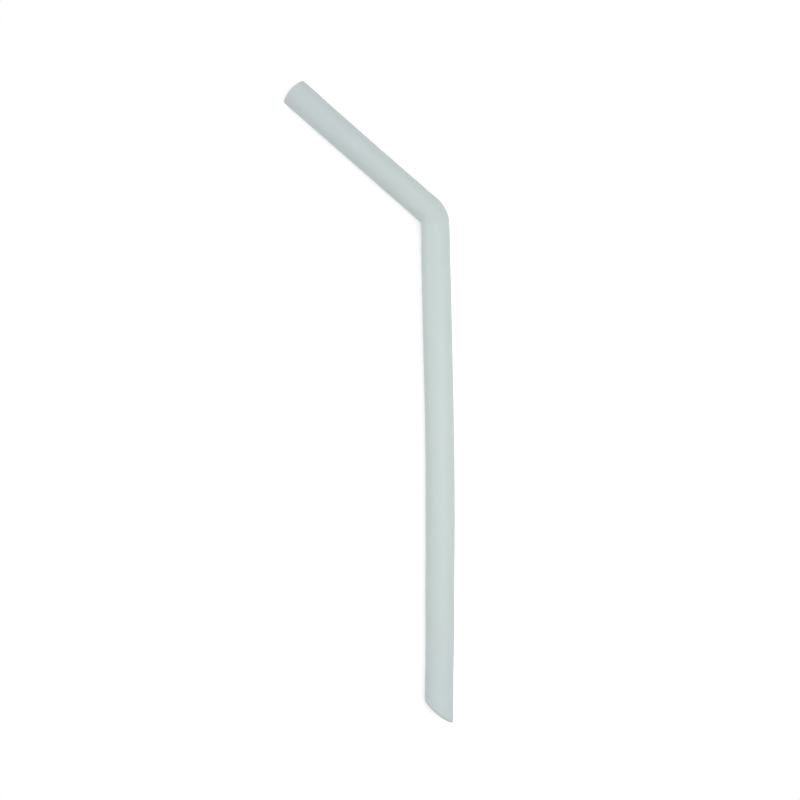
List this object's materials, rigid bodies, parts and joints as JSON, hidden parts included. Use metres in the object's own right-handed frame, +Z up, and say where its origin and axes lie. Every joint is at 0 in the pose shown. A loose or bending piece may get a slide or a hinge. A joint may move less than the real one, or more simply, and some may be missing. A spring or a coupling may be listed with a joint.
{
  "type": "drinking straw",
  "caption": "Soft silicone drinking straw: one pale grey-green hollow tube with a rounded mouth, one bend below it, a long gently bowed stem and a foot cut at a slant.",
  "frame": {"origin": "on the floor, under the middle of the bounding box of the straw as it lies flat", "axes": "+Z up, away from the surface that it lies on; +Y along the stem, from the foot towards the bend; -X is the side that the mouth leans to"},
  "size_m": [0.0596, 0.22, 0.01],
  "materials": {
    "silicone": "matte"
  },
  "bodies": {
    "root": {"straw": "silicone"}
  },
  "joints": []
}
